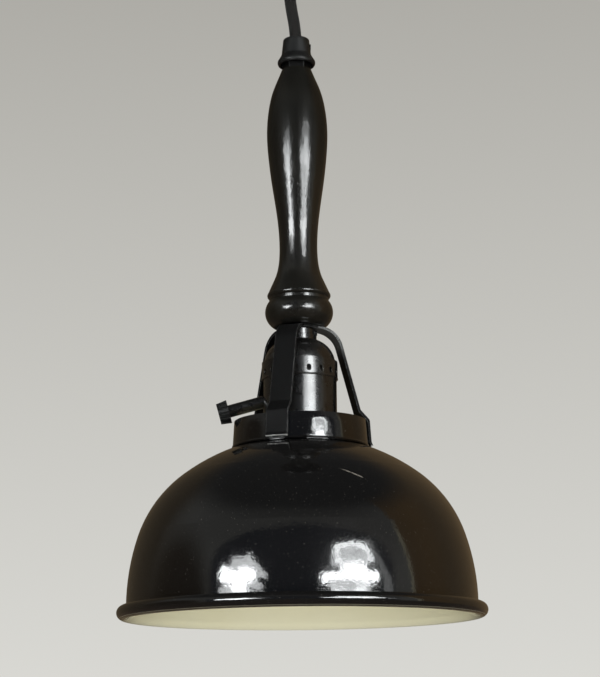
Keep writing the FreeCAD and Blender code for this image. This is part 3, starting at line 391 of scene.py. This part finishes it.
def metal(name, low, high, rough):
    """Bare metal with fine drawn marks, its colour between low and high."""
    mat, n = material(name)
    marks = n.noise(n.place((1, 1, 20)), 300, 4.0)
    cloud = n.noise(n.place(), 120, 3.0)
    finish_material(n, Base_Color=n.mix(cloud, rgb(*low), rgb(*high)), Metallic=1.0,
                    Roughness=n.ramp(marks, 0.3, 0.7, rough, rough + 0.15),
                    Normal=n.bump(marks, 0.00002, 0.4))
    return mat


def plain_body(name, low, high, rough):
    """Ceramic, board, rubber or black glass with a fine mottled skin."""
    mat, n = material(name)
    cloud = n.noise(n.place(), 200, 4.0)
    finish_material(n, Base_Color=n.mix(cloud, rgb(*low), rgb(*high)),
                    Roughness=n.ramp(cloud, 0.3, 0.7, rough, rough + 0.1),
                    Normal=n.bump(cloud, 0.00004, 0.5))
    return mat


def frosted_glass():
    """Inside-frosted bulb glass, slightly warm."""
    mat, n = material("bulb_frosted")
    cloud = n.noise(n.place(), 160, 3.0)
    colour = n.mix(cloud, rgb(0.93, 0.91, 0.86), rgb(0.88, 0.86, 0.8))
    finish_material(n, Base_Color=colour, Roughness=n.ramp(cloud, 0.3, 0.7, 0.16, 0.24),
                    Specular_IOR_Level=0.5, Subsurface_Weight=0.15, Subsurface_Scale=0.004,
                    Coat_Weight=0.5, Coat_Roughness=0.05)
    return mat


def clear_glass():
    """Glass of the bulb's inner stem."""
    mat, n = material("stem_glass")
    cloud = n.noise(n.place(), 100, 2.0)
    finish_material(n, Base_Color=n.mix(cloud, rgb(0.95, 0.97, 0.97), rgb(0.9, 0.93, 0.93)),
                    Roughness=0.03, Transmission_Weight=0.9)
    return mat


def textile():
    """Black braided cotton: each yarn a little different, with fine fibres."""
    mat, n = material("cord_braid")
    place = n.place()
    yarn = n.noise(place, 1500, 3.0, 0.6)
    fade = n.noise(place, 120, 3.0)
    colour = n.mix(yarn, rgb(0.005, 0.0048, 0.0045), rgb(0.015, 0.014, 0.0125))
    colour = n.mix(n.ramp(fade, 0.55, 0.75, 0.0, 0.5), colour, rgb(0.024, 0.021, 0.018))
    finish_material(n, Base_Color=colour, Roughness=0.82, Normal=n.bump(yarn, 0.00006, 0.7),
                    Sheen_Weight=0.08, Sheen_Roughness=0.5, Specular_IOR_Level=0.2)
    return mat


# ---------- mesh helpers ----------

def add_mesh(name, verts, faces, mat, smooth=False):
    """New mesh object in the scene."""
    mesh = bpy.data.meshes.new(name)
    mesh.from_pydata([tuple(place) for place in verts], [], faces)
    for polygon in mesh.polygons:
        polygon.use_smooth = smooth
    mesh.materials.append(mat)
    obj = bpy.data.objects.new(name, mesh)
    bpy.context.scene.collection.objects.link(obj)
    return obj


def strip(here, there, count):
    """Faces between two closed rings of count points, which start at here and at there."""
    faces = []
    for k in range(count):
        after = (k + 1) % count
        faces.append((here + k, here + after, there + after, there + k))
    return faces


# ---------- cord ----------

# The route of part.py, in metres: from inside the cord grip up to the gland
CORD_ROUTE = [
    (0, 0, -0.1297), (0, 0, -0.117779), (-0.002574, 0, -0.103107), (-0.0039, 0, -0.086968),
    (-0.00359, 0, -0.073488), (-0.00191, 0, -0.061017), (0, 0, -0.049004), (0, 0, PIVOT),
]


def spline_points(route):
    """Points along the route's NURBS spline."""
    curve = bpy.data.curves.new("route", "CURVE")
    curve.dimensions = "3D"
    curve.resolution_u = 24
    spline = curve.splines.new("NURBS")
    spline.points.add(len(route) - 1)
    for point, place in zip(spline.points, route):
        point.co = (*place, 1)
    spline.order_u = 3
    spline.use_endpoint_u = True
    carrier = bpy.data.objects.new("route", curve)
    mesh = bpy.data.meshes.new_from_object(carrier)
    points = [vertex.co.copy() for vertex in mesh.vertices]
    bpy.data.meshes.remove(mesh)
    bpy.data.objects.remove(carrier)
    bpy.data.curves.remove(curve)
    return points


def evenly(points, step):
    """The same line with points a step apart, and its length."""
    lengths = [0.0]
    for here, there in zip(points, points[1:]):
        lengths.append(lengths[-1] + (there - here).length)
    whole = lengths[-1]
    count = max(2, round(whole / step))
    result = []
    index = 0
    for number in range(count + 1):
        target = whole * number / count
        while index < len(points) - 2 and lengths[index + 1] < target:
            index += 1
        part = (target - lengths[index]) / max(1e-9, lengths[index + 1] - lengths[index])
        result.append(points[index].lerp(points[index + 1], min(1.0, part)))
    return result, whole


def braid_height(turn, along):
    """Height of a one over, one under braid, from 0 to about 1.

    The place is given around the cord in turns and along it in pitches."""
    strands = 14
    crown = 0.6
    weave = 0.32
    narrowing = 1.9
    first = strands * (turn + along)
    second = strands * (turn - along)
    i = round(first)
    j = round(second)
    rise = weave * math.cos(math.pi * (second + i))
    dip = -weave * math.cos(math.pi * (first + j))
    over = math.sqrt(max(0.0, 1 - (narrowing * (first - i)) ** 2)) * crown + rise
    under = math.sqrt(max(0.0, 1 - (narrowing * (second - j)) ** 2)) * crown + dip
    return max(over, under, 0.0)


def make_cord():
    """Braided cord along its route, from the bottom up, closed at both ends."""
    points, length = evenly(spline_points(CORD_ROUTE), step=0.00024)
    last = len(points) - 1
    around = 112
    core = 0.00261
    lift = 0.0002
    pitch = 0.019
    verts = []
    side = Vector((1, 0, 0))
    for index, point in enumerate(points):
        forward = (points[min(last, index + 1)] - points[max(0, index - 1)]).normalized()
        side = (side - forward * side.dot(forward)).normalized()
        other = forward.cross(side)
        run = length * index / last
        for k in range(around):
            angle = 2 * math.pi * k / around
            radius = core + lift * braid_height(k / around, run / pitch)
            verts.append(point + side * (radius * math.cos(angle))
                         + other * (radius * math.sin(angle)))
    faces = []
    for ring in range(last):
        faces += strip(ring * around, (ring + 1) * around, around)
    faces.append(tuple(reversed(range(around))))
    faces.append(tuple(range(last * around, (last + 1) * around)))
    cord = add_mesh("cord_braid", verts, faces, textile(), smooth=True)
    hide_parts("pendant_cord")
    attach(cord, "lamp")


# ---------- enamel inside the rim ----------

def make_rim_enamel(finish):
    """Ring of cream enamel, pooled where the shade's inner wall meets the rolled rim.

    The profile's first three points show; the rest of it is inside the rim."""
    profile = [(0.07735, RIM + 0.012), (0.0768, RIM + 0.0075),
               (0.07622, RIM + 0.0037), (0.0775, RIM + 0.0037)]
    corners = len(profile)
    around = 256
    verts = []
    faces = []
    for k in range(around):
        angle = 2 * math.pi * k / around
        verts += [(radius * math.cos(angle), radius * math.sin(angle), level)
                  for radius, level in profile]
        faces += strip((k + 1) % around * corners, k * corners, corners)
    ring = add_mesh("rim_enamel", verts, faces, finish, smooth=True)
    ring.data.set_sharp_from_angle(angle=math.radians(30))
    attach(ring, "lamp")


# ---------- light and surroundings ----------

def make_world():
    """Plain pale light, and for gloss a dim room with a doorway, seen from the lamp.

    Places in it are given by a direction's x (right), y (away from the camera) and z (up)."""
    world = bpy.data.worlds.new("world")
    bpy.context.scene.world = world
    world.use_nodes = True
    n = Nodes(world.node_tree)
    x, y, z = n.split(n.add("ShaderNodeTexCoord").outputs["Generated"])
    wall = n.mix(n.ramp(z, 0.02, 0.42, smooth=False),
                 rgb(0.70, 0.695, 0.66), rgb(0.395, 0.385, 0.355))
    # Walls, with the dark doorway behind the camera as a rounded oblong
    half_width = 0.86
    half_height = 0.63
    across = n.math("POWER", n.math("DIVIDE", n.math("ABSOLUTE", x), half_width), 2.0)
    upward = n.math("POWER", n.math("DIVIDE", n.math("ABSOLUTE", z), half_height), 4.0)
    doorway = n.ramp(n.math("ADD", across, upward), 1.07, 0.95)
    room = n.mix(n.ramp(z, 0.55, 0.2), rgb(0.18, 0.18, 0.17), rgb(0.27, 0.27, 0.25))
    room = n.mix(doorway, room, rgb(0.03, 0.036, 0.05))
    # Brown wall on the right, with a pale post at its near edge
    right = n.ramp(x, 0.25, 0.6)
    room = n.mix(n.math("MULTIPLY", right, n.ramp(y, -0.26, -0.2)), room,
                 rgb(0.19, 0.115, 0.045))
    post = n.math("MULTIPLY", n.ramp(y, -0.275, -0.25), n.ramp(y, -0.215, -0.24))
    post = n.math("MULTIPLY", n.math("MULTIPLY", post, right), n.ramp(z, 0.6, 0.45))
    room = n.mix(post, room, rgb(0.7, 0.65, 0.46))
    # Dark far left, brown back, dark ceiling and floor
    room = n.mix(n.ramp(x, -0.82, -0.95), room, rgb(0.042, 0.028, 0.015))
    back = n.mix(n.ramp(x, -0.5, 0.5), rgb(0.065, 0.05, 0.032), rgb(0.12, 0.083, 0.045))
    room = n.mix(n.ramp(y, 0.0, 0.5), room, back)
    room = n.mix(n.ramp(z, 0.62, 0.85), room, rgb(0.03, 0.03, 0.03))
    room = n.mix(n.ramp(z, -0.05, -0.3), room, rgb(0.07, 0.05, 0.035))
    path = n.add("ShaderNodeLightPath")
    soft = n.mix(path.outputs["Is Diffuse Ray"], wall, rgb(0.42, 0.42, 0.42))
    colour = n.mix(path.outputs["Is Glossy Ray"], soft, room)
    background = n.add("ShaderNodeBackground", {"Color": colour, "Strength": 1.0})
    n.add("ShaderNodeOutputWorld", {"Surface": background.outputs[0]})


def polar(azimuth, elevation, distance):
    """Place seen from the shade: azimuth from the camera's side, positive to the right."""
    shade_level = -0.36
    az = math.radians(azimuth)
    el = math.radians(elevation)
    return Vector((math.sin(az) * math.cos(el) * distance,
                   -math.cos(az) * math.cos(el) * distance,
                   shade_level + math.sin(el) * distance))


# Name, azimuth, elevation, distance, width, height, power
LAMPS = (
    ("window_left", -40, 34, 2.2, 1.0, 1.0, 11),
    ("window_right", 33, 32, 2.2, 1.3, 1.0, 15),
    ("fill_back", 165, 40, 2.2, 1.6, 1.2, 9),
    ("fill_low", 5, -42, 1.5, 2.6, 1.0, 14),
)


def make_lamps():
    """Soft lamps, which gloss doesn't reflect."""
    target = Vector((0, 0, -0.3))
    for name, azimuth, elevation, distance, width, height, power in LAMPS:
        data = bpy.data.lights.new(name, "AREA")
        data.shape = "RECTANGLE"
        data.size = width
        data.size_y = height
        data.energy = power
        lamp = bpy.data.objects.new(name, data)
        lamp.location = polar(azimuth, elevation, distance)
        lamp.rotation_euler = (target - lamp.location).to_track_quat("-Z", "Y").to_euler()
        lamp.visible_glossy = False
        lamp.visible_camera = False
        bpy.context.scene.collection.objects.link(lamp)


# Windows that only gloss reflects: pale cards, and brighter cores a little in front of them.
# Name, distance, strength, share of gaps, and corners as azimuth and elevation in degrees
CARD_DISTANCE = 2.0
CORE_DISTANCE = 1.96
WINDOW_CARDS = (
    ("card_left", CARD_DISTANCE, 7, 0.42, (
        (-53, 2.5), (-53, 7), (-49, 8), (-53.5, 10), (-54, 14), (-52, 17), (-48, 16), (-46, 18),
        (-47, 20), (-41, 21), (-38, 20.5), (-35.5, 23), (-32.5, 22.5), (-33, 20.7), (-29.5, 19),
        (-27.5, 16), (-22, 12), (-21.5, 10), (-26, 11.5), (-28, 9), (-23, 7), (-26, 5.5),
        (-34, 6.5), (-33.5, 2.5))),
    ("core_left", CORE_DISTANCE, 20, 0.4, (
        (-53, 9.5), (-54, 13.5), (-52, 16.5), (-47, 14.5), (-42, 13.8), (-38, 16.5),
        (-33.5, 16.5), (-30, 14.5), (-29, 11.5), (-30.5, 9), (-34, 8.3), (-34, 3), (-44, 3),
        (-44, 7.5))),
    ("card_right", CARD_DISTANCE, 7, 0.42, (
        (17.5, 2.5), (17, 7.5), (12, 7.8), (11, 9), (11.3, 12.5), (17, 13.5), (24.5, 13.5),
        (24.5, 16), (19, 16.5), (19.5, 20), (21, 25), (22, 27), (30, 27.3), (36, 28),
        (38, 26.5), (43, 26.5), (45.5, 24), (47, 20), (46, 17.5), (41.5, 17), (41, 13.5),
        (48.5, 13.3), (49.5, 12), (49, 8.5), (43.5, 7.4), (43.5, 2.5))),
    ("core_bar", CORE_DISTANCE, 20, 0.38, (
        (11.5, 8.5), (11.3, 11.5), (17, 13.3), (25.5, 13.4), (25, 16), (27, 17.5), (41, 17.5),
        (41.5, 13.6), (48.5, 13.3), (49.5, 11), (49, 8.4), (40, 8), (36, 9), (20, 8))),
    ("core_top", CORE_DISTANCE, 15, 0.44, (
        (21, 17.4), (22.5, 20), (21, 25.5), (22.5, 26.8), (36, 27.8), (43, 26.7), (45.5, 24.2),
        (47, 20), (48, 17.4), (42, 18), (44, 20.5), (42, 23.5), (38, 25.2), (25.5, 25),
        (25, 20.5), (27, 18.2), (39, 18.6), (36, 17.3))),
    ("core_low", CORE_DISTANCE, 18, 0.46, (
        (19, 2.5), (19.5, 7.6), (34, 7.6), (40, 7), (41, 2.5))),
    ("card_side", CARD_DISTANCE, 1.2, 0.42, (
        (43.5, 29), (47, 28.5), (51, 20.5), (55.5, 14), (58.5, 9), (57, 3), (52.5, 3), (53, 9),
        (51.5, 14), (49, 19))),
)


def window_card(name, distance, strength, gaps, outline):
    """Bright card that only gloss reflects, with dimmer gaps like those between leaves."""
    edge = 0.05
    dim = 0.12 * strength
    mat, n = material(name)
    patch = n.noise(n.place((1, 1, 1.4)), 26, 5.0, 0.7)
    level = n.ramp(patch, gaps - edge, gaps + edge, dim, strength)
    light = n.add("ShaderNodeEmission", {"Color": rgb(0.96, 0.99, 1.0), "Strength": level})
    n.add("ShaderNodeOutputMaterial", {"Surface": light.outputs[0]})
    corners = [polar(azimuth, elevation, distance) for azimuth, elevation in outline]
    card = add_mesh(name, corners, [tuple(range(len(corners)))], mat)
    card.visible_camera = False
    card.visible_diffuse = False
    card.visible_shadow = False
    card.visible_transmission = False


def make_floor():
    """Pale floor, which the camera sees lifted to the backdrop's tone."""
    half = 9.0
    level = -2.4
    lift = 0.75
    corners = [(-half, -half, 0), (half, -half, 0), (half, half, 0), (-half, half, 0)]
    mat, n = material("floor_pale")
    pale = n.add("ShaderNodeBsdfDiffuse", {"Color": rgb(0.72, 0.715, 0.69)})
    lifted = n.add("ShaderNodeEmission", {"Color": rgb(0.836, 0.83, 0.786), "Strength": 1.0})
    seen = n.math("MULTIPLY", n.add("ShaderNodeLightPath").outputs["Is Camera Ray"], lift)
    mixed = n.add("ShaderNodeMixShader", {0: seen, 1: pale.outputs[0], 2: lifted.outputs[0]})
    n.add("ShaderNodeOutputMaterial", {"Surface": mixed.outputs[0]})
    floor = add_mesh("floor", corners, [(0, 1, 2, 3)], mat)
    floor.location = (0, 0, level)
    floor.visible_glossy = False


# ---------- make and dress the pieces ----------

def dress(names, mat):
    """Give these CAD nodes a material."""
    for name in names:
        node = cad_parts[name]
        node.data.materials.clear()
        node.data.materials.append(mat)


make_camera()
make_cord()
shade_enamel = enamel("shade_enamel", cream_inside=True)
dress(["shade"], shade_enamel)
make_rim_enamel(shade_enamel)
dress(["fitter_collar"], enamel("collar_enamel", bulged=True))
dress(["ceiling_canopy"], enamel("black_enamel"))
dress(["shade_carrier"], black_paint("strip_paint", 0.5, legs=True))
dress(["grip_screw", "lock_nut", "neck_screws"], black_paint("screw_black", 0.4))
dress(["socket_cap", "cap_bushing", "bushing_screw"], dark_bronze("cap_bronze", 0.07))
dress(["socket_shell", "key_shaft"], dark_bronze("shell_bronze", 0.13))
dress(["handle"], dark_wood())
dress(["cord_grip", "canopy_gland", "gland_nut", "key_knob"], black_plastic())
dress(["cord_tail"], textile())
dress(["mounting_bar", "canopy_screws", "clamp_screws", "block_screw", "stem_tube"],
      metal("zinc_steel", (0.5, 0.5, 0.49), (0.62, 0.62, 0.6), 0.3))
dress(["terminal_barrels", "terminal_screws", "screw_shell", "centre_contact"],
      metal("brass", (0.62, 0.44, 0.2), (0.75, 0.57, 0.28), 0.25))
dress(["terminal_block", "interior_block", "switch_rotor"],
      plain_body("ceramic_white", (0.7, 0.68, 0.62), (0.8, 0.78, 0.73), 0.35))
dress(["cap_liner", "shell_liner"],
      plain_body("fibre_board", (0.012, 0.011, 0.010), (0.03, 0.027, 0.024), 0.8))
dress(["live_core", "neutral_core", "live_lead", "neutral_lead"],
      plain_body("core_rubber", (0.02, 0.02, 0.022), (0.035, 0.035, 0.036), 0.55))
dress(["bulb_glass"], frosted_glass())
dress(["bulb_stem"], clear_glass())
dress(["bulb_base", "bulb_tip"],
      metal("bulb_nickel", (0.6, 0.6, 0.58), (0.74, 0.74, 0.71), 0.22))
dress(["bulb_insulator"],
      plain_body("black_glass", (0.01, 0.01, 0.011), (0.02, 0.02, 0.022), 0.12))
dress(["bulb_filament"], metal("tungsten", (0.2, 0.2, 0.2), (0.3, 0.3, 0.3), 0.4))

make_world()
make_lamps()
for card in WINDOW_CARDS:
    window_card(*card)
make_floor()
bpy.context.scene.view_settings.view_transform = "Standard"
